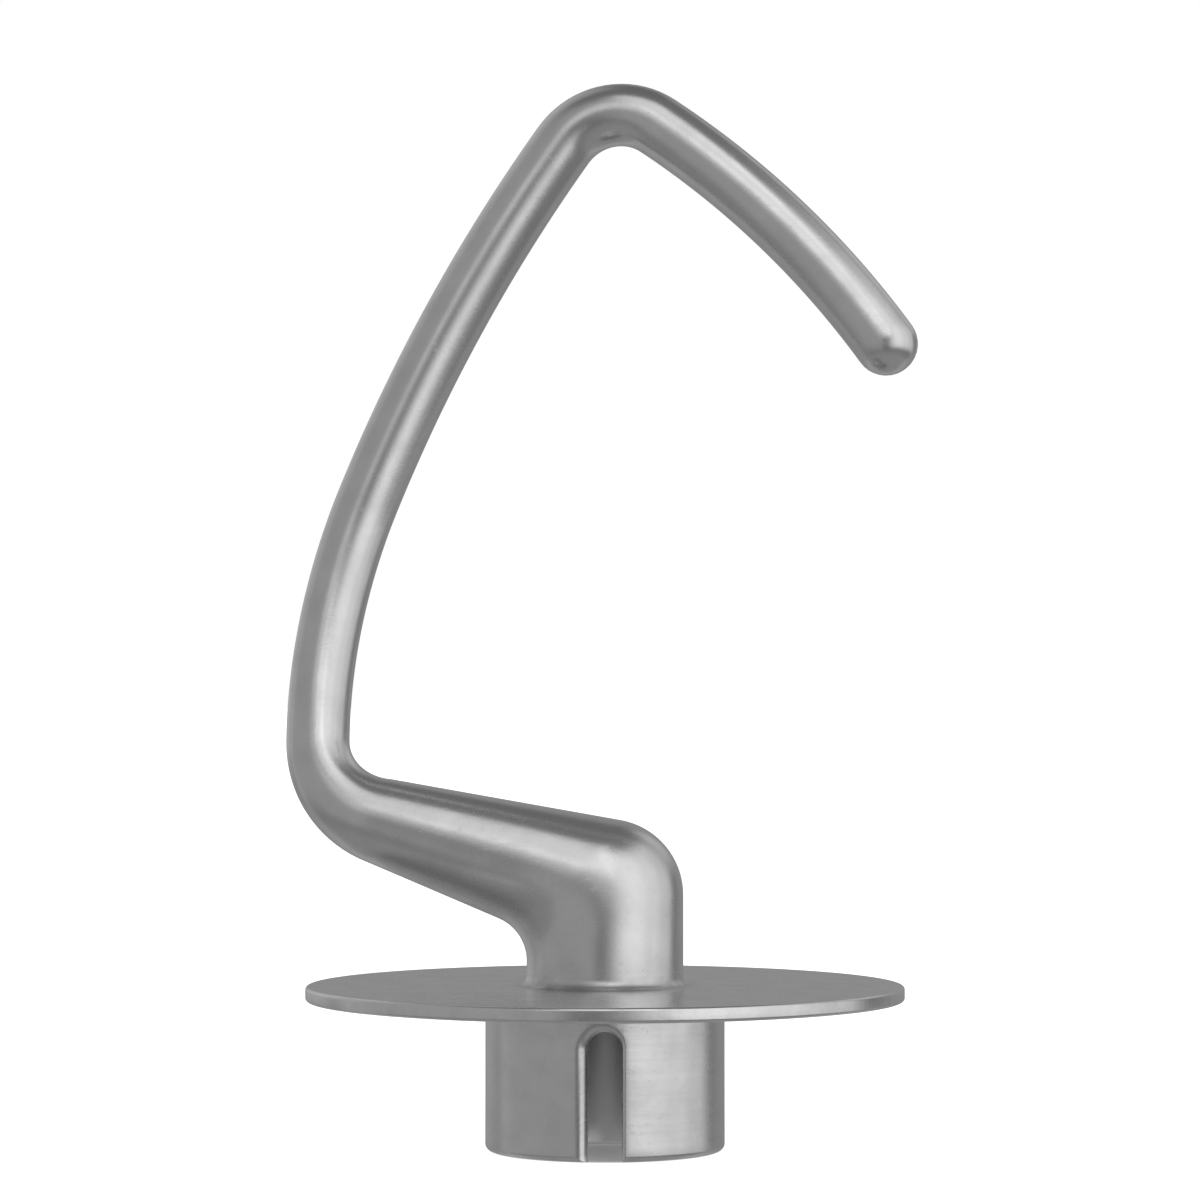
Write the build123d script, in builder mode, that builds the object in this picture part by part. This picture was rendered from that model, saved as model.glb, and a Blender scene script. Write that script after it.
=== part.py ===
"""Stand mixer dough hook: one aluminium casting that stands on its hub, hook upwards."""

import os
from math import cos, pi, radians, sin

from build123d import *

os.makedirs("parts", exist_ok=True)

# Hub that slides over the mixer shaft, mouth downwards at height zero
hub_diameter = 36.0
hub_height = 22.5
hub_root_taper = 1.2
hub_edge_break = 1.0
shaft_diameter = 12.7
shaft_clearance = 0.2
bore_past_disc = 5.3
bore_lead_in = 0.5

# Bayonet slot in the front of the hub for the cross pin of the shaft
pin_diameter = 4.76
pin_clearance = 0.24
pin_reach = 12.6
pin_angle = 40.0
slot_roof = 3.5

# Shield disc between hub and post
disc_diameter = 90.0
disc_thickness = 2.2
disc_edge_break = 0.5

# Post and elbow
post_diameter = 23.6
post_height = 3.6
post_root_taper = 1.2
elbow_inner_round = 7.0
elbow_bulge = 4.6
elbow_steps = 6

# Tapering arm, and the heel that turns it up into the rod
arm_rise = 16.6
arm_length = 20.6
arm_root_width = 17.7
heel_width = 13.0
heel_radius = 13.0
heel_angle = 73.7
heel_tilt_angle = 22.0
heel_steps = 4

# Round rod of the hook: bends that run into each other, up from the heel and over to the tip
rod_diameter = 9.6
low_radius = 79.0
low_angle = 28.3
low_roll_angle = -42.0
high_radius = 261.0
high_angle = 13.8
high_roll_angle = 28.5
crown_radius = 10.6
crown_angle = 89.9
tip_radius = 146.0
tip_angle = 19.7

# Sizes that follow from the ones above
hub_radius = hub_diameter / 2
disc_radius = disc_diameter / 2
post_radius = post_diameter / 2
bore_radius = (shaft_diameter + shaft_clearance) / 2
slot_width = pin_diameter + pin_clearance
slot_height = hub_height - slot_roof
disc_top = hub_height + disc_thickness
bore_depth = disc_top + bore_past_disc
post_top = disc_top + post_height
arm_angle = 90 - arm_rise
elbow_pivot = Vector(-post_radius - elbow_inner_round, 0, post_top)

def heading(lean: float) -> Vector:
    """Direction that leans from upright to the right by an angle."""
    return Vector(sin(radians(lean)), 0, cos(radians(lean)))

def across(point: Vector, travel: Vector) -> Plane:
    """Plane square to the arm at a point, its first axis towards the outside of the elbow."""
    return Plane(origin=point, x_dir=Vector(0, 1, 0).cross(travel), z_dir=travel)

def elbow_depth(share: float) -> float:
    """Depth of the elbow at a share of its turn, easing from the post to the root of the arm."""
    return post_diameter + (arm_root_width - post_diameter) * share * share * (3 - 2 * share)

def elbow_width(share: float) -> float:
    """Width of the elbow at a share of its turn, fullest round the outside of the bend."""
    return elbow_depth(share) + elbow_bulge * sin(pi * share) ** 2

def elbow_plane(share: float) -> Plane:
    """Plane of the elbow section at a share of its turn, fanned about the inner round."""
    angle = arm_angle * share
    outward = Vector(cos(radians(angle)), 0, sin(radians(angle)))
    return across(elbow_pivot + outward * (elbow_inner_round + elbow_width(share) / 2), heading(-angle))

def bend_plane(point: Vector, travel: Vector, front: Vector, roll: float) -> Plane:
    """Plane that a bend starts in at a point, rolled back about the direction it starts along."""
    return Plane(origin=point, x_dir=travel, z_dir=front.rotate(Axis(point, travel), roll))

# Plane of arm and heel, which leans back
heel_plane = bend_plane(elbow_plane(1).origin, heading(-arm_angle), Vector(0, -1, 0), heel_tilt_angle)

with BuildPart() as dough_hook:
    # Hub, disc and post, turned about the line of the shaft
    with BuildSketch(Plane.XZ) as profile:
        with BuildLine():
            Polyline(
                (0, 0),
                (hub_radius, 0),
                (hub_radius, hub_height),
                (disc_radius, hub_height),
                (disc_radius, disc_top),
                (post_radius, disc_top),
                (post_radius, post_top),
                (0, post_top),
                close=True,
            )
        make_face()
        corners = profile.vertices()
        chamfer(corners.group_by(Axis.X)[-1], disc_edge_break)
        chamfer(corners.filter_by_position(Axis.Y, hub_height, hub_height).sort_by(Axis.X)[0], hub_root_taper)
        chamfer(corners.filter_by_position(Axis.Y, disc_top, disc_top).sort_by(Axis.X)[0], post_root_taper)
    revolve(axis=Axis.Z)

    # Centre line of arm, heel and rod, which bows to the rear and comes forward again to the tip
    with BuildLine(heel_plane):
        axis = Line((0, 0), (arm_length, 0), mode=Mode.PRIVATE)
        turn = JernArc(axis @ 1, axis % 1, heel_radius, -heel_angle, mode=Mode.PRIVATE)
    low_plane = bend_plane(turn @ 1, turn % 1, heel_plane.z_dir, low_roll_angle)
    with BuildLine(low_plane):
        low = JernArc((0, 0), (1, 0), low_radius, -low_angle, mode=Mode.PRIVATE)
    with BuildLine(bend_plane(low @ 1, low % 1, low_plane.z_dir, high_roll_angle)):
        high = JernArc((0, 0), (1, 0), high_radius, -high_angle, mode=Mode.PRIVATE)
        crown = JernArc(high @ 1, high % 1, crown_radius, -crown_angle, mode=Mode.PRIVATE)
        end = JernArc(crown @ 1, crown % 1, tip_radius, -tip_angle, mode=Mode.PRIVATE)

    # Rod of the hook, one thickness throughout
    bends = []
    for bend in (low, high, crown, end):
        with BuildSketch(across(bend @ 0, bend % 0)):
            Circle(rod_diameter / 2)
        bends.append(sweep(path=bend, mode=Mode.PRIVATE))

    # Elbow, a skin over a row of sections
    with BuildSketch(elbow_plane(0)):
        Circle(post_radius)
    for step in range(1, elbow_steps):
        share = step / elbow_steps
        with BuildSketch(elbow_plane(share)):
            Ellipse(elbow_width(share) / 2, elbow_depth(share) / 2)
    with BuildSketch(elbow_plane(1)):
        Circle(arm_root_width / 2)
    elbow = loft(mode=Mode.PRIVATE)

    # Arm, a plain taper
    for share, width in enumerate((arm_root_width, heel_width)):
        with BuildSketch(across(axis @ share, axis % share)):
            Circle(width / 2)
    arm = loft(mode=Mode.PRIVATE)

    # Heel, a taper that turns
    for step in range(heel_steps + 1):
        share = step / heel_steps
        with BuildSketch(across(turn @ share, turn % share)):
            Circle((heel_width + (rod_diameter - heel_width) * share) / 2)
    heel = loft(mode=Mode.PRIVATE)

    # These meet face to face, and the tip ends round
    whole = elbow.fuse(arm, heel, *bends, glue=True)
    add(whole)
    with Locations(across(end @ 1, end % 1)):
        Sphere(rod_diameter / 2, arc_size1=0, align=(Align.CENTER, Align.CENTER, Align.MIN))

    # Blind bore for the shaft, with a lead-in at the mouth
    with BuildSketch(Plane.XZ):
        with BuildLine():
            Polyline(
                (0, 0),
                (bore_radius + bore_lead_in, 0),
                (bore_radius, bore_lead_in),
                (bore_radius, bore_depth),
                (0, bore_depth),
                close=True,
            )
        make_face()
    revolve(axis=Axis.Z, mode=Mode.SUBTRACT)

    # Slot for the pin, and the seat that the pin turns into
    with BuildSketch(Plane.XZ):
        SlotOverall(2 * slot_height, slot_width, rotation=90)
    extrude(amount=hub_diameter, mode=Mode.SUBTRACT)
    with BuildSketch(Plane(origin=(0, 0, 0), x_dir=(0, -1, 0), z_dir=(-1, 0, 0))):
        with Locations((0, slot_height)):
            Rectangle(pin_reach, slot_width, align=(Align.MIN, Align.MAX))
    revolve(axis=Axis.Z, revolution_arc=pin_angle, mode=Mode.SUBTRACT)

    # Broken outer edge of mouth and slot
    rings = dough_hook.edges().filter_by(GeomType.CIRCLE)
    mouth_edge = rings.group_by(Axis.Z)[0].sort_by(SortBy.RADIUS)[-1]
    slot_edges = dough_hook.edges().filter_by_position(Axis.Y, -hub_radius, hub_edge_break - hub_radius)
    chamfer(slot_edges + [mouth_edge], hub_edge_break)

dough_hook.part.label = "dough_hook"
export_step(dough_hook.part, "parts/dough_hook.step")
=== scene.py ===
"""Looks of a stand mixer dough hook: one burnished aluminium casting on a pale studio floor."""

import logging
import math
from dataclasses import dataclass, field, replace
from enum import Enum
from typing import Any, Iterator, TypeAlias

import bmesh
import bpy
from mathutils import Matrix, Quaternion, Vector


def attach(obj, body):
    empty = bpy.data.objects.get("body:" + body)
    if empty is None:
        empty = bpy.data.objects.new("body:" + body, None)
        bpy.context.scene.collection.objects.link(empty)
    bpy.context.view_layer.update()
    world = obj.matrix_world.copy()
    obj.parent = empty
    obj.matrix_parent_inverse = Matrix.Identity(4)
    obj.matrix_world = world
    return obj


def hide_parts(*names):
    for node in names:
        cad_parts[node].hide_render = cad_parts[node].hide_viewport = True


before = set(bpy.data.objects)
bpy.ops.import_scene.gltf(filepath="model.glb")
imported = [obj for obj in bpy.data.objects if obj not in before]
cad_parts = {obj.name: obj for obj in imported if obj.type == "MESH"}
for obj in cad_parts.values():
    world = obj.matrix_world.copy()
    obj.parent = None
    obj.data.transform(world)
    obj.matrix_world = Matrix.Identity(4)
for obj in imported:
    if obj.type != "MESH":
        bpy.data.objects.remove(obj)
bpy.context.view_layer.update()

log = logging.getLogger("dough_hook")
MM = 0.001
UP = Vector((0.0, 0.0, 1.0))
BACK = Vector((0.0, 1.0, 0.0))
RIGHT = Vector((1.0, 0.0, 0.0))

# Distances under which points count as one: along a skin's seam and ends, and in a finished mesh
SEAM_GAP = 0.002 * MM
DOUBLE_GAP = 0.0005 * MM

Colour: TypeAlias = tuple[float, float, float, float]
WHITE: Colour = (1.0, 1.0, 1.0, 1.0)


class Cut(Enum):
    """Cuts in the hub, each by the name of the solid that makes it."""

    BORE = "bore_cut"
    SLOT = "slot_cut"
    SEAT = "seat_cut"


@dataclass(frozen=True)
class Ring:
    """One section of the casting's skin: a centre and two half axes, in millimetres."""

    centre: Vector
    across: Vector
    beside: Vector


def heading(lean: float) -> Vector:
    """Direction that leans from upright to the right.

    Args:
        lean: Angle from upright in degrees.

    Returns:
        The unit direction.
    """
    return Vector((math.sin(math.radians(lean)), 0.0, math.cos(math.radians(lean))))


def ring_at(centre: Vector, travel: Vector, half_width: float, half_depth: float) -> Ring:
    """Section square to a direction of travel.

    Args:
        centre: Middle of the section.
        travel: Direction in which the skin runs on.
        half_width: Half size towards the outside of the elbow.
        half_depth: Half size across that.

    Returns:
        The section with its scaled axes.
    """
    across = BACK.cross(travel).normalized()
    beside = travel.cross(across).normalized()
    return Ring(centre.copy(), across * half_width, beside * half_depth)


@dataclass
class TurnedBase:
    """Hub, shield disc and post, turned about the line of the shaft. Sizes in millimetres."""

    hub_radius: float = 18.0
    hub_height: float = 22.5
    mouth_round: float = 1.0
    hub_root_round: float = 1.5
    disc_radius: float = 45.0
    disc_thickness: float = 2.2
    rim_round: float = 0.5
    post_radius: float = 11.8
    post_height: float = 3.6
    post_root_round: float = 1.6
    step: float = 1.1
    round_steps: int = 7

    @property
    def disc_top(self) -> float:
        """Height of the disc's upper face."""
        return self.hub_height + self.disc_thickness

    @property
    def post_top(self) -> float:
        """Height at which the elbow begins."""
        return self.disc_top + self.post_height

    def corners(self) -> list[tuple[float, float, float]]:
        """Corners of the profile, from the mouth upwards.

        Returns:
            Radius, height and round of each corner.
        """
        return [
            (self.hub_radius, 0.0, self.mouth_round),
            (self.hub_radius, self.hub_height, self.hub_root_round),
            (self.disc_radius, self.hub_height, self.rim_round),
            (self.disc_radius, self.disc_top, self.rim_round),
            (self.post_radius, self.disc_top, self.post_root_round),
        ]

    def profile(self) -> Iterator[tuple[float, float]]:
        """Walks the rounded profile from the middle of the mouth to the top of the post.

        Yields:
            Radius and height of each point.
        """
        ends = [(0.0, 0.0), *(corner[:2] for corner in self.corners()), (self.post_radius, self.post_top)]
        last = Vector(ends[0])
        yield tuple(last)
        for index, (radius, height, size) in enumerate(self.corners()):
            corner = Vector((radius, height))
            back = (Vector(ends[index]) - corner).normalized()
            ahead = (Vector(ends[index + 2]) - corner).normalized()
            start, centre = corner + back * size, corner + (back + ahead) * size
            yield from self.run(last, start)
            for turn in range(1, self.round_steps + 1):
                angle = math.pi / 2 * turn / self.round_steps
                last = centre - ahead * size * math.cos(angle) - back * size * math.sin(angle)
                yield tuple(last)
        yield from self.run(last, Vector(ends[-1]))

    def run(self, start: Vector, end: Vector) -> Iterator[tuple[float, float]]:
        """Even steps along a straight run of the profile.

        Args:
            start: First point, which isn't given again.
            end: Last point, which is.

        Yields:
            Radius and height of each point.
        """
        steps = max(1, round((end - start).length / self.step))
        for index in range(1, steps + 1):
            yield tuple(start.lerp(end, index / steps))

    def rings(self) -> list[Ring]:
        """Sections of the turned part, from the mouth upwards."""
        return [ring_at(UP * height, UP, radius, radius) for radius, height in self.profile()]


def eased(first: float, last: float, slope_in: float, slope_out: float, share: float) -> float:
    """Value on a smooth run from one size to another.

    Args:
        first: Size at the start.
        last: Size at the end.
        slope_in: Slope at the start, over the whole run.
        slope_out: Slope at the end, over the whole run.
        share: How far along the run, from 0 to 1.

    Returns:
        The size there.
    """
    rest = 1.0 - share
    along = share * share * (3.0 - 2.0 * share)
    return first + (last - first) * along + share * rest * (slope_in * rest - slope_out * share)


@dataclass(frozen=True)
class Bend:
    """One round bend of the hook: its radius, its turn, and how its plane rolls where it starts."""

    radius: float
    angle: float
    roll: float = 0.0


@dataclass(frozen=True)
class ElbowEdge:
    """Edge of the elbow in its middle plane: straight up, round to the left, and straight on to the arm."""

    start: Vector
    end: Vector
    rise: float
    radius: float

    @property
    def corner(self) -> Vector:
        """Where the two straight runs would meet."""
        drop = (self.start.x - self.end.x) * math.tan(math.radians(self.rise))
        return Vector((self.start.x, 0.0, self.end.z - drop))

    @property
    def turn(self) -> float:
        """Turn of the round, in radians."""
        return math.radians(90.0 - self.rise)

    @property
    def runs(self) -> tuple[float, float, float]:
        """Lengths along the edge.

        Returns:
            Lengths of the first run, the round and the last run.
        """
        tangent = self.radius * math.tan(self.turn / 2)
        first = self.corner.z - self.start.z - tangent
        return first, self.radius * self.turn, (self.end - self.corner).length - tangent

    @property
    def length(self) -> float:
        """Length of the whole edge."""
        return sum(self.runs)

    def at(self, share: float) -> Vector:
        """Point on the edge.

        Args:
            share: How far along the edge, from 0 to 1.

        Returns:
            The point there.
        """
        first, curved, _ = self.runs
        gone = self.length * share
        if gone <= first:
            return self.start + UP * gone
        if gone <= first + curved:
            angle = (gone - first) / self.radius
            centre = self.start + UP * first - RIGHT * self.radius
            return centre + (RIGHT * math.cos(angle) + UP * math.sin(angle)) * self.radius
        return self.end - heading(self.rise - 90.0) * (self.length - gone)


@dataclass
class HookArm:
    """Elbow, tapering arm, heel and round rod with its tip. Sizes in millimetres and degrees."""

    base: TurnedBase
    elbow_inner_round: float = 7.0
    elbow_outer_round: float = 11.4
    arm_rise: float = 16.6
    arm_length: float = 20.6
    arm_root_width: float = 17.7
    heel_width: float = 13.0
    rod_width: float = 9.6
    bends: tuple[Bend, ...] = (
        Bend(13.0, 73.7, 22.0),  # heel
        Bend(79.0, 28.3, -42.0),  # lower half of the rod
        Bend(261.0, 13.8, 28.5),  # upper half
        Bend(10.6, 89.9),  # crown
        Bend(146.0, 19.7),  # side down to the tip
    )
    step: float = 0.9
    tip_steps: int = 9

    @property
    def arm_angle(self) -> float:
        """Turn of the elbow from upright."""
        return 90.0 - self.arm_rise

    @property
    def taper(self) -> float:
        """How much half the width of the arm narrows along it."""
        return (self.arm_root_width - self.heel_width) / 2 / self.arm_length

    @property
    def arm_root(self) -> Vector:
        """Middle of the section in which the arm begins."""
        pivot = UP * self.base.post_top - RIGHT * (self.base.post_radius + self.elbow_inner_round)
        return pivot + heading(self.arm_rise) * (self.elbow_inner_round + self.arm_root_width / 2)

    def elbow_edges(self) -> tuple[ElbowEdge, ElbowEdge]:
        """Outer and inner edge of the elbow, which run on into the edges of the arm.

        Returns:
            The outer edge and the inner edge.
        """
        lean = math.degrees(math.atan(self.taper))
        out = heading(self.arm_rise) * self.arm_root_width / 2
        foot, side = UP * self.base.post_top, RIGHT * self.base.post_radius
        root, rise = self.arm_root, self.arm_rise
        outer = ElbowEdge(foot + side, root + out, rise - lean, self.elbow_outer_round)
        inner = ElbowEdge(foot - side, root - out, rise + lean, self.elbow_inner_round)
        room = inner.corner.z - self.base.post_top
        return outer, replace(inner, radius=room / math.tan(inner.turn / 2))

    def elbow(self) -> Iterator[Ring]:
        """Sections round the elbow, after the top of the post.

        Yields:
            Oval sections that span the elbow from edge to edge.
        """
        outer, inner = self.elbow_edges()
        advance = (outer.length + inner.length) / 2 * math.cos(math.atan(self.taper))
        slope = -2 * self.taper * advance
        steps = math.ceil(outer.length / self.step)
        for index in range(1, steps + 1):
            share = index / steps
            high, low = outer.at(share), inner.at(share)
            depth = eased(2 * self.base.post_radius, self.arm_root_width, 0.0, slope, share)
            yield Ring((high + low) / 2, (high - low) / 2, BACK * depth / 2)

    def arm_and_rod(self) -> Iterator[Ring]:
        """Sections along the straight arm, the heel, the four arcs of the rod and the round tip.

        Yields:
            Round sections, square to the way the hook runs.
        """
        travel = heading(-self.arm_angle)
        place = self.arm_root
        inward = heading(self.arm_rise)
        steps = math.ceil(self.arm_length / self.step)
        for index in range(1, steps + 1):
            share = index / steps
            half = (self.arm_root_width + (self.heel_width - self.arm_root_width) * share) / 2
            yield ring_at(place + travel * self.arm_length * share, travel, half, half)
        place = place + travel * self.arm_length
        widths = (self.heel_width,) + (self.rod_width,) * len(self.bends)
        for bend, first, last in zip(self.bends, widths, widths[1:]):
            inward = Quaternion(travel, math.radians(bend.roll)) @ inward
            radius, turn = bend.radius, math.radians(bend.angle)
            centre = place + inward * radius
            narrowing = -2 * self.taper * radius * turn if first > last else 0.0
            steps = math.ceil(radius * turn / self.step)
            for index in range(1, steps + 1):
                share = index / steps
                cosine, sine = math.cos(turn * share), math.sin(turn * share)
                half = eased(first, last, narrowing, 0.0, share) / 2
                spot = centre - inward * radius * cosine + travel * radius * sine
                yield ring_at(spot, travel * cosine + inward * sine, half, half)
            place = spot
            travel, inward = travel * cosine + inward * sine, inward * cosine - travel * sine
        half = self.rod_width / 2
        for index in range(1, self.tip_steps + 1):
            angle = math.pi / 2 * index / self.tip_steps
            rest = half * math.cos(angle) if index < self.tip_steps else 0.0
            yield ring_at(place + travel * half * math.sin(angle), travel, rest, rest)

    def rings(self) -> list[Ring]:
        """Sections from above the post to the tip."""
        return [*self.elbow(), *self.arm_and_rod()]


class NodeTree:
    """Adds nodes to a geometry or shader tree from their type, settings and socket values."""

    def __init__(self, tree: bpy.types.NodeTree) -> None:
        """Keeps the tree that nodes go into."""
        self.tree = tree

    @classmethod
    def of(cls, owner: bpy.types.Material | bpy.types.World) -> "NodeTree":
        """Turns on an owner's own tree and empties it.

        Args:
            owner: A new material or world.

        Returns:
            Its empty tree.
        """
        owner.use_nodes = True
        owner.node_tree.nodes.clear()
        return cls(owner.node_tree)

    def add(self, kind: str, settings: dict[str, Any] | None = None, **sockets: Any) -> bpy.types.Node:
        """Adds one node.

        Args:
            kind: The node's type.
            settings: Properties to set before the sockets.
            **sockets: Values or links by socket name, underscores for spaces, or in0, in1 by place.

        Returns:
            The new node.
        """
        node = self.tree.nodes.new(kind)
        for name, value in (settings or {}).items():
            if name == "stops":
                self.set_stops(node, value)
            else:
                setattr(node, name, value)
        for name, value in sockets.items():
            if name.startswith("in") and name[2:].isdigit():
                socket = node.inputs[int(name[2:])]
            else:
                socket = node.inputs[name.replace("_", " ")]
            self.feed(socket, value)
        return node

    def mix(self, share: "Signal", first: Any, second: Colour) -> bpy.types.NodeSocket:
        """Mixes two colours.

        Args:
            share: Share of the second colour.
            first: Colour where the share is 0.
            second: Colour where it is 1.

        Returns:
            The mixed colour.
        """
        mixed = self.add("ShaderNodeMix", {"data_type": "RGBA"}, in0=share, in6=first, in7=second)
        return mixed.outputs[2]

    def feed(self, socket: bpy.types.NodeSocket, value: Any) -> None:
        """Links a socket or sets its value.

        Args:
            socket: Input of a node in this tree.
            value: A signal or an output to link, or a plain value to set.
        """
        if isinstance(value, Signal):
            value = value.socket
        if isinstance(value, bpy.types.NodeSocket):
            self.tree.links.new(value, socket)
        else:
            socket.default_value = value

    @staticmethod
    def set_stops(node: bpy.types.Node, stops: tuple[tuple[float, Colour], ...]) -> None:
        """Sets the stops of a colour ramp.

        Args:
            node: The ramp's node.
            stops: Place and colour of each stop, in order.
        """
        ramp = node.color_ramp
        while len(ramp.elements) < len(stops):
            ramp.elements.new(0.5)
        for element, (place, colour) in zip(ramp.elements, stops):
            element.position, element.color = place, colour


class Signal:
    """A shader value on which Python's operators add Math nodes."""

    def __init__(self, nodes: NodeTree, socket: bpy.types.NodeSocket) -> None:
        """Wraps an output socket of the tree."""
        self.nodes = nodes
        self.socket = socket

    def math(self, operation: str, *others: Any) -> "Signal":
        """Adds a Math node with this value first.

        Args:
            operation: The node's operation.
            *others: Further values or signals.

        Returns:
            The node's output.
        """
        sockets = {f"in{place}": value for place, value in enumerate((self, *others))}
        node = self.nodes.add("ShaderNodeMath", {"operation": operation}, **sockets)
        return Signal(self.nodes, node.outputs[0])

    def __add__(self, other: Any) -> "Signal":
        """Sum."""
        return self.math("ADD", other)

    __radd__ = __add__

    def __mul__(self, other: Any) -> "Signal":
        """Product."""
        return self.math("MULTIPLY", other)

    __rmul__ = __mul__

    def __sub__(self, other: Any) -> "Signal":
        """Difference."""
        return self.math("SUBTRACT", other)

    def __rsub__(self, other: float) -> "Signal":
        """Difference from a number."""
        return self * -1.0 + other

    def between(self, low: float, high: float) -> "Signal":
        """Eases from 0 at one value to 1 at another.

        Args:
            low: Value up to which the result is 0.
            high: Value from which it is 1.

        Returns:
            The eased signal.
        """
        node = self.nodes.add(
            "ShaderNodeMapRange", {"interpolation_type": "SMOOTHSTEP"},
            Value=self, From_Min=low, From_Max=high, To_Min=0.0, To_Max=1.0,
        )
        return Signal(self.nodes, node.outputs["Result"])


class Spot:
    """Where a point of a piece lies, in millimetres, for finishes that change from place to place."""

    noise_roughness = 0.55
    line_detail = 2.0

    def __init__(self, nodes: NodeTree) -> None:
        """Adds the nodes that read the Object coordinates.

        Args:
            nodes: The finish's tree.
        """
        self.nodes = nodes
        place = nodes.add("ShaderNodeTexCoord").outputs["Object"]
        scaling = {"operation": "SCALE"}
        self.place = nodes.add("ShaderNodeVectorMath", scaling, Vector=place, Scale=1.0 / MM).outputs[0]
        split = nodes.add("ShaderNodeSeparateXYZ", Vector=self.place)
        self.side, self.depth, self.height = (Signal(nodes, split.outputs[name]) for name in "XYZ")
        self.radius = (self.side * self.side + self.depth * self.depth).math("SQRT")

    def noise(self, scale: float, detail: float) -> Signal:
        """Even noise.

        Args:
            scale: Waves in a millimetre.
            detail: How much finer noise it carries.

        Returns:
            The noise, about a half on average.
        """
        made = self.nodes.add(
            "ShaderNodeTexNoise", Vector=self.place, Scale=scale, Detail=detail,
            Roughness=self.noise_roughness,
        )
        return Signal(self.nodes, made.outputs["Fac"])

    def streaks(self, turn: tuple[float, float, float], scale: tuple[float, float, float]) -> Signal:
        """Noise that is drawn out in one direction.

        Args:
            turn: Angles in radians that turn the direction.
            scale: Waves in a millimetre, along the streaks and across them.

        Returns:
            The noise, about a half on average.
        """
        turned = self.nodes.add("ShaderNodeMapping", Vector=self.place, Rotation=turn, Scale=scale)
        made = self.nodes.add("ShaderNodeTexNoise", Vector=turned.outputs[0], Scale=1.0, Detail=0.0)
        return Signal(self.nodes, made.outputs["Fac"])

    def lines(self, along: Signal, scale: float) -> Signal:
        """Noise in lines, all round, that changes only with one signal.

        Args:
            along: The signal in millimetres.
            scale: Waves in a millimetre.

        Returns:
            The noise, about a half on average.
        """
        made = self.nodes.add(
            "ShaderNodeTexNoise", {"noise_dimensions": "1D"}, W=along, Scale=scale, Detail=self.line_detail,
        )
        return Signal(self.nodes, made.outputs["Fac"])


@dataclass(frozen=True)
class Patches:
    """Cloudy patches of a finish: the noise they come from, and the values between which they set in."""

    scale: float
    detail: float
    low: float
    high: float

    def signal(self, spot: Spot) -> Signal:
        """Share of the patches at a point, from 0 to 1."""
        return spot.noise(self.scale, self.detail).between(self.low, self.high)


@dataclass(frozen=True)
class Mark:
    """How much one kind of mark adds to the roughness, and to the height that the bump shows."""

    roughness: float
    height: float = 0.0


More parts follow.
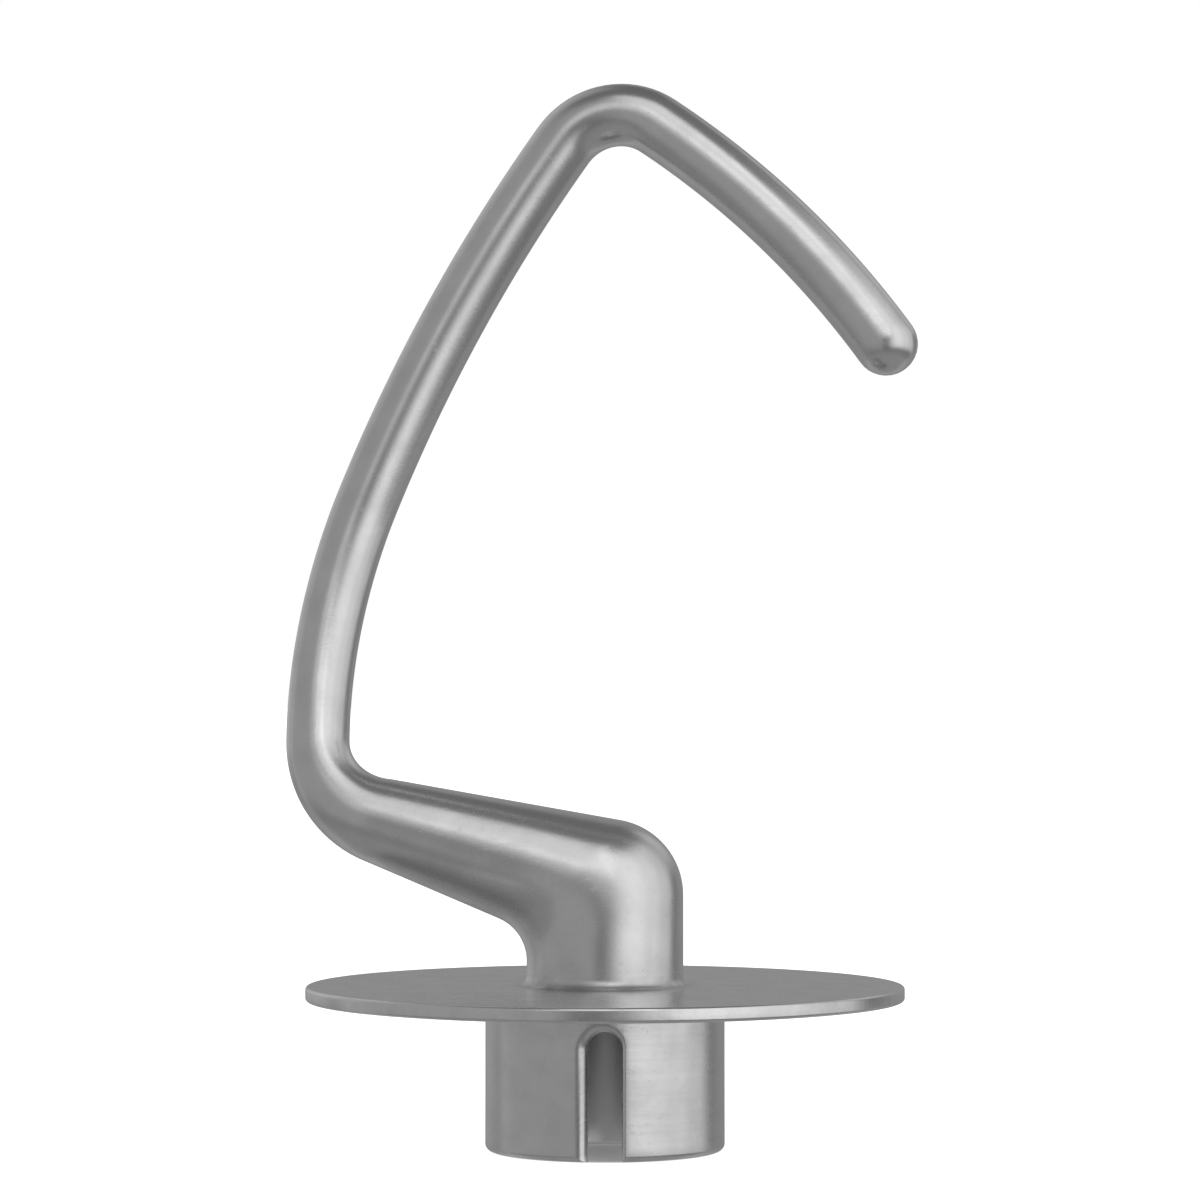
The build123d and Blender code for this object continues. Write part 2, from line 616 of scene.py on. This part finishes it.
@dataclass(frozen=True)
class BurnishedAluminium:
    """Finish of a tumbled and burnished aluminium casting. Sizes in millimetres."""

    cuts: "HubCuts"
    tones: tuple[tuple[float, Colour], ...] = (
        (0.30, (0.695, 0.695, 0.703, 1.0)),
        (0.50, (0.735, 0.735, 0.740, 1.0)),
        (0.70, (0.770, 0.770, 0.773, 1.0)),
    )
    worn: Colour = (0.82, 0.82, 0.82, 1.0)
    worn_share: float = 0.7
    # Painted shade: this dark colour is laid into the inner corners above and below the disc
    corner_shade_colour: Colour = (0.36, 0.355, 0.345, 1.0)
    corner_shade_share: float = 0.45
    # Painted light: a lighter colour inside bore, slot and seat, brightening their shade
    recess_painted_light: Colour = (0.86, 0.86, 0.865, 1.0)
    roughness: float = 0.25
    recess_roughness: float = 0.42

    # Where wear and painted corner shade lie: how far from the edges and corners, and how softly they end
    edge: float = 0.3
    lip_depth: float = 1.2
    rim_band: float = 0.6
    mouth_band: float = 1.4
    corner_core: float = 0.2
    corner_reach: float = 2.3

    # Noise that breaks the marks up
    mottle_scale: float = 0.2
    mottle_detail: float = 4.0
    lathe_scale: float = 1.1
    wear_patches: Patches = Patches(0.35, 3.0, 0.28, 0.62)
    corner_shade_patches: Patches = Patches(0.5, 3.0, 0.2, 0.75)
    fleck_patches: Patches = Patches(0.9, 2.0, 0.60, 0.74)
    scratch_patches: Patches = Patches(0.09, 2.0, 0.52, 0.62)
    scratch_turns: tuple[tuple[float, float, float], ...] = ((0.4, 0.9, 0.3), (-0.7, 0.2, 1.9))
    scratch_scale: tuple[float, float, float] = (0.03, 0.5, 0.5)
    scratch_width: float = 0.012

    # What each mark does to roughness and height, and the grain as scale, detail and height
    mottle_mark: Mark = Mark(-0.12)
    fleck_mark: Mark = Mark(0.05, 0.25)
    lathe_mark: Mark = Mark(0.09, 0.35)
    scratch_mark: Mark = Mark(0.05, -0.12)
    corner_shade_mark: Mark = Mark(0.14)
    wear_mark: Mark = Mark(-0.06)
    grain: tuple[tuple[float, float, float], ...] = ((1.4, 3.0, 0.5), (0.26, 2.0, 0.8))
    bump_strength: float = 0.12
    bump_depth: float = 0.12

    def within(self, value: Signal, limit: float) -> Signal:
        """1 up to a limit, 0 past the soft edge beyond it."""
        return 1 - value.between(limit, limit + self.edge)

    def recess(self, spot: Spot) -> Signal:
        """Share of bore, slot and seat in the surface.

        Args:
            spot: Where the point lies.

        Returns:
            1 inside the hub, 0 on the outside of the casting.
        """
        cuts = self.cuts
        below_slot_top = self.within(spot.height, cuts.slot_height)
        seat = self.within(spot.radius, cuts.seat_reach) * below_slot_top
        bore = self.within(spot.radius, cuts.bore_radius) * self.within(spot.height, cuts.bore_depth)
        slot = self.within(spot.side.math("ABSOLUTE"), cuts.slot_half_width)
        slot = slot * self.within(spot.radius, cuts.base.hub_radius - self.lip_depth)
        slot = slot * self.within(spot.depth, -cuts.bore_radius) * below_slot_top
        inside = seat.math("MAXIMUM", bore).math("MAXIMUM", slot)
        return inside * spot.height.between(0.0, 2 * self.edge)

    def wear(self, spot: Spot) -> Signal:
        """Share of the edges that are rubbed bright: the rim of the disc and the edge of the mouth.

        Args:
            spot: Where the point lies.

        Returns:
            1 where the metal is rubbed, 0 elsewhere.
        """
        base = self.cuts.base
        outside = base.disc_radius - self.rim_band
        rim = spot.radius.between(outside, outside + self.edge) * self.within(spot.height, base.disc_top)
        foot = base.hub_radius - self.mouth_band
        mouth = 1 - spot.height.between(self.edge, 4 * self.edge)
        mouth = mouth * spot.radius.between(foot, foot + 2 * self.edge)
        return rim.math("MAXIMUM", mouth) * self.wear_patches.signal(spot)

    def corner_shade(self, spot: Spot) -> Signal:
        """Share of the painted shade that darkens the inner corners above and below the disc.

        Args:
            spot: Where the point lies.

        Returns:
            1 in the depth of a corner, 0 elsewhere.
        """
        base, core = self.cuts.base, self.corner_core
        shares = []
        corners = ((base.post_radius, base.disc_top + core), (base.hub_radius, base.hub_height - core))
        for radius, height in corners:
            out, up = spot.radius - (radius + core), spot.height - height
            shares.append(1 - (out * out + up * up).math("SQRT").between(core, self.corner_reach))
        return shares[0].math("MAXIMUM", shares[1]) * self.corner_shade_patches.signal(spot)

    def scratches(self, spot: Spot) -> Signal:
        """Fine handling scratches in two directions, in patches.

        Args:
            spot: Where the point lies.

        Returns:
            1 along a scratch, 0 elsewhere.
        """
        hairs = []
        for turn in self.scratch_turns:
            drawn = spot.streaks(turn, self.scratch_scale)
            hairs.append(1 - (drawn - 0.5).math("ABSOLUTE").between(0.0, self.scratch_width))
        return hairs[0].math("MAXIMUM", hairs[1]) * self.scratch_patches.signal(spot)

    def lathe(self, spot: Spot) -> Signal:
        """Lines that turning left on hub and disc.

        Args:
            spot: Where the point lies.

        Returns:
            The lines, about 0 on average, and 0 above the disc.
        """
        top = self.cuts.base.disc_top + self.edge
        turned = 1 - spot.height.between(top, top + 2 * self.edge)
        return (spot.lines(spot.radius + spot.height, self.lathe_scale) - 0.5) * turned

    def material(self) -> bpy.types.Material:
        """Builds the material.

        Returns:
            The burnished material, with its wear, painted shade in the inner corners and painted light in
            the recesses, by Object coordinates.
        """
        made = bpy.data.materials.new("burnished_aluminium")
        nodes = NodeTree.of(made)
        spot = Spot(nodes)
        recess, wear, corner_shade = self.recess(spot), self.wear(spot), self.corner_shade(spot)
        mottle = spot.noise(self.mottle_scale, self.mottle_detail)
        marks = (
            (self.mottle_mark, mottle - 0.5),
            (self.fleck_mark, self.fleck_patches.signal(spot)),
            (self.lathe_mark, self.lathe(spot)),
            (self.scratch_mark, self.scratches(spot)),
            (self.corner_shade_mark, corner_shade),
            (self.wear_mark, wear),
        )

        colour = nodes.add("ShaderNodeValToRGB", {"stops": self.tones}, Fac=mottle).outputs["Color"]
        colour = nodes.mix(wear * self.worn_share, colour, self.worn)
        # Painted shade darkens the inner corners above and below the disc
        colour = nodes.mix(corner_shade * self.corner_shade_share, colour, self.corner_shade_colour)
        # Painted light: bore, slot and seat are made lighter to brighten their shade
        colour = nodes.mix(recess, colour, self.recess_painted_light)

        plain = recess * (self.recess_roughness - self.roughness) + self.roughness
        rough = sum((share * mark.roughness for mark, share in marks), plain)
        grain = sum(spot.noise(scale, detail) * height for scale, detail, height in self.grain)
        relief = sum((share * mark.height for mark, share in marks if mark.height), grain)
        bump = nodes.add(
            "ShaderNodeBump", Strength=self.bump_strength, Distance=self.bump_depth * MM, Height=relief,
        )

        shader = nodes.add(
            "ShaderNodeBsdfPrincipled", Base_Color=colour, Metallic=1.0, Roughness=rough,
            Normal=bump.outputs["Normal"],
        )
        nodes.add("ShaderNodeOutputMaterial", Surface=shader.outputs[0])
        return made


@dataclass(frozen=True)
class StudioWhite:
    """Finish of the pale floor, with a painted shadow under the hub. Sizes in millimetres."""

    colour: Colour = (0.86, 0.86, 0.86, 1.0)
    glow: float = 1.0
    # Share of the glow left inside a ring under the hub: a painted shadow
    shade: float = 0.15
    shade_inner: float = 15.0
    shade_outer: float = 18.5
    roughness: float = 0.9
    grain_scale: float = 0.4
    grain_detail: float = 2.0
    bump_strength: float = 0.02
    bump_depth: float = 0.2

    def material(self) -> bpy.types.Material:
        """Builds the floor's material.

        Returns:
            A matt pale material with a little light of its own, dimmed under the hub as a painted shadow.
        """
        made = bpy.data.materials.new("studio_white")
        nodes = NodeTree.of(made)
        spot = Spot(nodes)
        grain = spot.noise(self.grain_scale, self.grain_detail)
        bump = nodes.add(
            "ShaderNodeBump", Strength=self.bump_strength, Distance=self.bump_depth * MM, Height=grain,
        )
        # Painted shadow: the floor's glow drops inside a ring under the hub
        clear = spot.radius.between(self.shade_inner, self.shade_outer)
        painted_shadow_glow = clear * (1.0 - self.shade) + self.shade
        light = nodes.add("ShaderNodeCombineXYZ", X=painted_shadow_glow, Y=painted_shadow_glow, Z=painted_shadow_glow)
        shader = nodes.add(
            "ShaderNodeBsdfPrincipled", Base_Color=self.colour, Roughness=self.roughness,
            Normal=bump.outputs["Normal"], Emission_Color=light.outputs[0], Emission_Strength=self.glow,
        )
        nodes.add("ShaderNodeOutputMaterial", Surface=shader.outputs[0])
        return made


class SkinTree:
    """Geometry Nodes tree that stretches one closed skin over a row of sections."""

    name = "skin_over_sections"

    def __init__(self) -> None:
        """Builds the tree once."""
        tree = bpy.data.node_groups.new(self.name, "GeometryNodeTree")
        face = tree.interface
        face.new_socket("Sections", in_out="INPUT", socket_type="NodeSocketGeometry")
        self.sides = face.new_socket("Sides", in_out="INPUT", socket_type="NodeSocketInt").identifier
        self.finish = face.new_socket("Finish", in_out="INPUT", socket_type="NodeSocketMaterial").identifier
        face.new_socket("Skin", in_out="OUTPUT", socket_type="NodeSocketGeometry")
        self.tree = tree
        self.fill(NodeTree(tree))

    def fill(self, nodes: NodeTree) -> None:
        """Adds the nodes.

        Args:
            nodes: The tree to fill.
        """
        given = nodes.add("NodeGroupInput").outputs
        sections = given["Sections"]
        sized = nodes.add("GeometryNodeAttributeDomainSize", {"component": "MESH"}, Geometry=sections)
        count = Signal(nodes, sized.outputs["Point Count"])
        grid = nodes.add(
            "GeometryNodeMeshGrid", Size_X=1.0, Size_Y=1.0,
            Vertices_X=count, Vertices_Y=Signal(nodes, given["Sides"]) + 1.0,
        )
        where = nodes.add("GeometryNodeInputPosition").outputs[0]
        split = nodes.add("ShaderNodeSeparateXYZ", Vector=where)
        ring = ((Signal(nodes, split.outputs["X"]) + 0.5) * (count - 1.0)).math("ROUND")
        angle = (Signal(nodes, split.outputs["Y"]) + 0.5) * math.tau
        total = self.sample(nodes, sections, where, ring)
        vectors, scaling = {"data_type": "FLOAT_VECTOR"}, {"operation": "SCALE"}
        for name, part in (("across", "COSINE"), ("beside", "SINE")):
            stored = nodes.add("GeometryNodeInputNamedAttribute", vectors, Name=name).outputs[0]
            axis = self.sample(nodes, sections, stored, ring)
            scaled = nodes.add("ShaderNodeVectorMath", scaling, Vector=axis, Scale=angle.math(part))
            total = nodes.add("ShaderNodeVectorMath", in0=total, in1=scaled.outputs[0]).outputs[0]
        moved = nodes.add("GeometryNodeSetPosition", Geometry=grid.outputs["Mesh"], Position=total)
        closed = nodes.add("GeometryNodeMergeByDistance", Geometry=moved.outputs[0], Distance=SEAM_GAP)
        smooth = nodes.add("GeometryNodeSetShadeSmooth", Geometry=closed.outputs[0])
        real = nodes.add("GeometryNodeRealizeInstances", Geometry=smooth.outputs[0])
        dressed = nodes.add("GeometryNodeSetMaterial", Geometry=real.outputs[0], Material=given["Finish"])
        nodes.add("NodeGroupOutput", in0=dressed.outputs[0])

    @staticmethod
    def sample(nodes: NodeTree, source: Any, value: Any, index: Signal) -> bpy.types.NodeSocket:
        """Reads a vector of one section.

        Args:
            nodes: The tree.
            source: Geometry that holds the sections as points.
            value: Vector to read there.
            index: Number of the section.

        Returns:
            The sampled vector.
        """
        settings = {"data_type": "FLOAT_VECTOR", "domain": "POINT"}
        read = nodes.add("GeometryNodeSampleIndex", settings, Geometry=source, Value=value, Index=index)
        return read.outputs[0]

    def skin(self, name: str, rings: list[Ring], sides: int, finish: bpy.types.Material) -> bpy.types.Object:
        """Makes a plain closed mesh over a row of sections.

        Args:
            name: Name of the piece.
            rings: Its sections, in millimetres.
            sides: Corners of each section.
            finish: Material of the skin.

        Returns:
            The linked object, with its place in its mesh.
        """
        row = bpy.data.meshes.new(name + "_sections")
        row.from_pydata([ring.centre * MM for ring in rings], [], [])
        for axis in ("across", "beside"):
            stored = row.attributes.new(axis, "FLOAT_VECTOR", "POINT")
            for item, ring in zip(stored.data, rings):
                item.vector = getattr(ring, axis) * MM
        draft = link(name + "_draft", row)
        modifier = draft.modifiers.new("skin", "NODES")
        modifier.node_group = self.tree
        modifier[self.sides] = sides
        modifier[self.finish] = finish
        return link(name, settle(draft))


def link(name: str, mesh: bpy.types.Mesh) -> bpy.types.Object:
    """Puts a mesh into the scene under a name.

    Args:
        name: Name of the object and its mesh.
        mesh: The mesh.

    Returns:
        The linked object.
    """
    mesh.name = name
    piece = bpy.data.objects.new(name, mesh)
    bpy.context.scene.collection.objects.link(piece)
    return piece


def settle(draft: bpy.types.Object) -> bpy.types.Mesh:
    """Turns an object with modifiers into a plain mesh and removes the object.

    Args:
        draft: The object, whose modifiers are applied.

    Returns:
        Its finished mesh, with faces turned outwards.
    """
    bpy.context.view_layer.update()
    graph = bpy.context.evaluated_depsgraph_get()
    mesh = bpy.data.meshes.new_from_object(draft.evaluated_get(graph))
    bpy.data.objects.remove(draft)
    shell = bmesh.new()
    shell.from_mesh(mesh)
    bmesh.ops.remove_doubles(shell, verts=shell.verts, dist=DOUBLE_GAP)
    bmesh.ops.recalc_face_normals(shell, faces=shell.faces)
    shell.to_mesh(mesh)
    shell.free()
    return mesh


@dataclass
class HubCuts:
    """Bore, pin slot and pin seat of the hub, as solids to cut away. Sizes in millimetres and degrees."""

    base: TurnedBase
    bore_radius: float = 6.45
    bore_depth: float = 30.0
    bore_lead_in: float = 0.5
    slot_half_width: float = 2.5
    slot_height: float = 19.0
    slot_lip_left: float = 2.0
    slot_lip_right: float = 0.6
    seat_height: float = 5.0
    seat_reach: float = 12.6
    seat_angle: float = 40.0
    below: float = 4.0
    bore_sides: int = 72
    lip_steps: int = 6
    arch_steps: int = 16
    seat_steps: int = 12

    def bore_rings(self) -> list[Ring]:
        """Sections of the blind bore.

        Returns:
            The sections, from below the mouth upwards.
        """
        lip = self.bore_radius + self.bore_lead_in
        profile = (
            (0.0, -self.below), (lip, -self.below), (lip, 0.0), (self.bore_radius, self.bore_lead_in),
            (self.bore_radius, self.bore_depth), (0.0, self.bore_depth),
        )
        return [ring_at(UP * height, UP, radius, radius) for radius, height in profile]

    def slot_outline(self, opened: float) -> list[tuple[float, float, float]]:
        """Outline of the slot, an arch that is open at the foot.

        Args:
            opened: Share of the lip by which the outline stands outside the plain slot.

        Returns:
            Side and height of its corners, and the size of the lip there.
        """
        middle = self.slot_height - self.slot_half_width
        arch = []
        for index in range(self.arch_steps + 1):
            share = index / self.arch_steps
            lip = self.slot_lip_right + (self.slot_lip_left - self.slot_lip_right) * share
            half = self.slot_half_width + lip * opened
            arch.append((half * math.cos(math.pi * share), middle + half * math.sin(math.pi * share), lip))
        (right, _, right_lip), (left, _, left_lip) = arch[0], arch[-1]
        return [(right, -self.below, right_lip), *arch, (left, -self.below, left_lip)]

    def slot_loops(self) -> list[list[Vector]]:
        """Loops of the slot, whose round lip follows the curve of the hub and is wider on the left.

        Returns:
            The loops, from the line of the shaft out to the front.
        """
        hub_radius = self.base.hub_radius
        loops = [[Vector((side, 0.0, height)) for side, height, _ in self.slot_outline(0.0)]]
        for index in range(self.lip_steps + 1):
            angle = math.pi / 2 * index / self.lip_steps
            inset = 1 - math.sin(angle)
            loops.append([
                Vector((side, lip * inset - math.sqrt(hub_radius ** 2 - side ** 2), height))
                for side, height, lip in self.slot_outline(1 - math.cos(angle))
            ])
        front = -hub_radius - self.below
        loops.append([Vector((side, front, height)) for side, height, _ in self.slot_outline(1.0)])
        return loops

    def seat_loops(self) -> list[list[Vector]]:
        """Loops of the seat beside the top of the slot, that the pin turns into.

        Returns:
            The lower and the upper loop.
        """
        turns = [self.seat_angle * index / self.seat_steps for index in range(self.seat_steps + 1)]
        fan = [math.radians(turn - 90.0) for turn in turns]
        flat = [Vector((0.0, 0.0, 0.0))]
        flat += [Vector((math.cos(angle), math.sin(angle), 0.0)) * self.seat_reach for angle in fan]
        floors = (self.slot_height - self.seat_height, self.slot_height)
        return [[spot + UP * floor for spot in flat] for floor in floors]

    def tool(self, cut: Cut, skins: "SkinTree", metal: bpy.types.Material) -> bpy.types.Object:
        """Solid that makes one of the cuts.

        Args:
            cut: Which cut.
            skins: Tree that makes round solids.
            metal: Material of the casting.

        Returns:
            The solid, to cut away from the casting.
        """
        if cut is Cut.BORE:
            return skins.skin(cut.value, self.bore_rings(), self.bore_sides, metal)
        return link(cut.value, self.bridge(self.slot_loops() if cut is Cut.SLOT else self.seat_loops()))

    @staticmethod
    def bridge(loops: list[list[Vector]]) -> bpy.types.Mesh:
        """Closed mesh through loops of corners.

        Args:
            loops: Loops with equal numbers of corners, in millimetres.

        Returns:
            The mesh, with faces turned outwards.
        """
        shell = bmesh.new()
        rows = [[shell.verts.new(spot * MM) for spot in loop] for loop in loops]
        for first, second in zip(rows, rows[1:]):
            for place in range(len(first)):
                ahead = (place + 1) % len(first)
                shell.faces.new((first[place], first[ahead], second[ahead], second[place]))
        shell.faces.new(rows[0])
        shell.faces.new(rows[-1])
        bmesh.ops.recalc_face_normals(shell, faces=shell.faces)
        mesh = bpy.data.meshes.new("bridge")
        shell.to_mesh(mesh)
        shell.free()
        return mesh


@dataclass
class Casting:
    """The whole hook: one skin from the mouth of the hub to the tip, with the hub cut open."""

    base: TurnedBase = field(default_factory=TurnedBase)
    sides: int = 120
    crease: float = 28.0

    def build(self) -> bpy.types.Object:
        """Builds, cuts and dresses the casting.

        Returns:
            The finished piece, riding on the frame in place of its solid.
        """
        cuts = HubCuts(self.base)
        metal = BurnishedAluminium(cuts).material()
        skins = SkinTree()
        rings = self.base.rings() + HookArm(self.base).rings()
        body = skins.skin("hook_casting", rings, self.sides, metal)
        for cut in Cut:
            body = self.cut(body, cuts.tool(cut, skins, metal))
        self.shade(body.data, metal)
        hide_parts("dough_hook")
        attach(body, "root")
        return body

    @staticmethod
    def cut(body: bpy.types.Object, tool: bpy.types.Object) -> bpy.types.Object:
        """Cuts a tool out of the body.

        Args:
            body: The casting so far, which is used up.
            tool: The solid to cut away, which is used up.

        Returns:
            The casting with the cut.
        """
        name = body.name
        modifier = body.modifiers.new("cut", "BOOLEAN")
        modifier.operation, modifier.solver, modifier.object = "DIFFERENCE", "EXACT", tool
        mesh = settle(body)
        bpy.data.objects.remove(tool)
        return link(name, mesh)

    def shade(self, mesh: bpy.types.Mesh, metal: bpy.types.Material) -> None:
        """Gives the mesh one material, smooth faces and crisp edges where it was cut.

        Args:
            mesh: The casting's mesh.
            metal: Its material.
        """
        mesh.materials.clear()
        mesh.materials.append(metal)
        for face in mesh.polygons:
            face.material_index = 0
            face.use_smooth = True
        mesh.set_sharp_from_angle(angle=math.radians(self.crease))


@dataclass(frozen=True)
class SoftLight:
    """A soft panel of light, placed by direction as seen from the middle of the hook."""

    name: str
    azimuth: float
    elevation: float
    width: float
    height: float
    radiance: float
    distance: float = 0.75
    aim: tuple[float, float, float] = (0.0, 0.0, 0.075)

    def build(self) -> bpy.types.Object:
        """Hangs the panel so that it faces the hook.

        Returns:
            The light.
        """
        turn, rise = math.radians(self.azimuth), math.radians(self.elevation)
        level = math.cos(rise)
        away = Vector((math.sin(turn) * level, -math.cos(turn) * level, math.sin(rise)))
        panel = bpy.data.lights.new(self.name, "AREA")
        panel.shape, panel.size, panel.size_y = "RECTANGLE", self.width, self.height
        panel.energy = self.radiance * math.pi * self.width * self.height
        lamp = bpy.data.objects.new(self.name, panel)
        lamp.location = Vector(self.aim) + away * self.distance
        lamp.rotation_euler = away.to_track_quat("Z", "Y").to_euler()
        lamp.visible_camera = False
        bpy.context.scene.collection.objects.link(lamp)
        return lamp


@dataclass(frozen=True)
class SoftGlow:
    """A soft bright area of the surround, by direction in degrees as seen from the hook."""

    azimuth: float
    half_width: float
    elevation: float
    half_height: float
    strength: float
    side_feather: float = 12.0
    end_feather: float = 8.0

    def signal(self, azimuth: Signal, elevation: Signal) -> Signal:
        """Light that this area adds.

        Args:
            azimuth: Direction from the front towards the right, in degrees.
            elevation: Direction above the horizon, in degrees.

        Returns:
            Its brightness in that direction.
        """
        aside = (azimuth - self.azimuth).math("WRAP", 180.0, -180.0).math("ABSOLUTE")
        above = (elevation - self.elevation).math("ABSOLUTE")
        side, end = self.side_feather, self.end_feather
        across = 1 - aside.between(self.half_width - side, self.half_width + side)
        along = 1 - above.between(self.half_height - end, self.half_height + end)
        return across * along * self.strength


@dataclass
class Studio:
    """Pale floor, soft light all round, a soft panel overhead and the camera."""

    floor_size: float = 40.0
    floor_drop: float = 0.05
    surround: float = 0.155
    panel: SoftLight = SoftLight("panel_top", 3.0, 50.0, 0.40, 0.66, 0.60)
    glows: tuple[SoftGlow, ...] = (
        # Right side, from the front to the back
        SoftGlow(43.0, 29.0, 21.0, 36.0, 0.80, side_feather=20.0),
        SoftGlow(92.0, 20.0, 21.0, 36.0, 0.50, side_feather=10.0),
        SoftGlow(132.0, 20.0, 34.0, 16.0, 0.25, side_feather=8.0),
        # Left side, from the front to the back
        SoftGlow(-12.0, 16.0, 28.0, 12.0, 0.33, side_feather=6.0, end_feather=6.0),
        SoftGlow(-66.0, 52.0, 15.0, 38.0, 0.185, side_feather=6.0, end_feather=12.0),
        SoftGlow(-138.0, 26.0, 32.0, 36.0, 0.20, side_feather=10.0, end_feather=10.0),
        # Behind
        SoftGlow(180.0, 50.0, 20.0, 26.0, 0.15),
        SoftGlow(180.0, 70.0, -28.0, 20.0, 0.14, side_feather=15.0),
        # Below, all round
        SoftGlow(0.0, 200.0, -62.0, 30.0, 0.12, end_feather=12.0),
    )
    eye: tuple[float, float, float] = (-0.00075, -0.6, 0.0682)
    pitch: float = 1.374
    lens: float = 119.4
    sensor: float = 36.0
    clip: tuple[float, float] = (0.01, 100.0)

    def build_floor(self) -> bpy.types.Object:
        """Lays the floor, which the metal doesn't mirror.

        Returns:
            The floor, marked as stage.
        """
        half = self.floor_size / 2
        mesh = bpy.data.meshes.new("floor")
        corners = [(-half, -half, 0.0), (half, -half, 0.0), (half, half, 0.0), (-half, half, 0.0)]
        mesh.from_pydata(corners, [], [(0, 1, 2, 3)])
        mesh.materials.append(StudioWhite().material())
        floor = link("floor", mesh)
        floor.location.z = -self.floor_drop * MM
        floor.visible_glossy = False
        floor.visible_shadow = False
        return floor

    def build_surround(self) -> None:
        """Makes the world white to the camera and a soft grey to the metal."""
        world = bpy.data.worlds.new("studio")
        nodes = NodeTree.of(world)
        seen = nodes.add("ShaderNodeLightPath").outputs["Is Camera Ray"]
        way = nodes.add("ShaderNodeTexCoord").outputs["Generated"]
        split = nodes.add("ShaderNodeSeparateXYZ", Vector=way)
        side, depth, height = (Signal(nodes, split.outputs[name]) for name in "XYZ")
        azimuth = side.math("ARCTAN2", depth * -1.0) * math.degrees(1.0)
        elevation = height.math("ARCSINE") * math.degrees(1.0)
        light = sum((glow.signal(azimuth, elevation) for glow in self.glows), self.surround)
        soft = nodes.add("ShaderNodeBackground", Color=WHITE, Strength=light)
        white = nodes.add("ShaderNodeBackground", Color=WHITE, Strength=1.0)
        mixed = nodes.add("ShaderNodeMixShader", in0=seen, in1=soft.outputs[0], in2=white.outputs[0])
        nodes.add("ShaderNodeOutputWorld", Surface=mixed.outputs[0])
        bpy.context.scene.world = world

    def build_camera(self) -> bpy.types.Object:
        """Sets up the camera at the photograph's viewing angle.

        Returns:
            The camera.
        """
        view = bpy.data.cameras.new("camera")
        view.sensor_fit, view.sensor_width, view.lens = "HORIZONTAL", self.sensor, self.lens
        view.clip_start, view.clip_end = self.clip
        camera = bpy.data.objects.new("camera", view)
        camera.location = self.eye
        camera.rotation_euler = (math.radians(90.0 + self.pitch), 0.0, 0.0)
        bpy.context.scene.collection.objects.link(camera)
        bpy.context.scene.camera = camera
        return camera

    def build(self) -> None:
        """Builds floor, surround, panel and camera."""
        self.build_floor()
        self.build_surround()
        self.panel.build()
        self.build_camera()
        bpy.context.scene.view_settings.view_transform = "Standard"


def main() -> None:
    """Builds the casting and the studio, and logs the casting's face count."""
    logging.basicConfig(level=logging.INFO, format="%(message)s")
    casting = Casting().build()
    log.info("%s: %d faces", casting.name, len(casting.data.polygons))
    Studio().build()
    log.info("studio: floor, panel and camera")


if __name__ == "__main__":
    main()
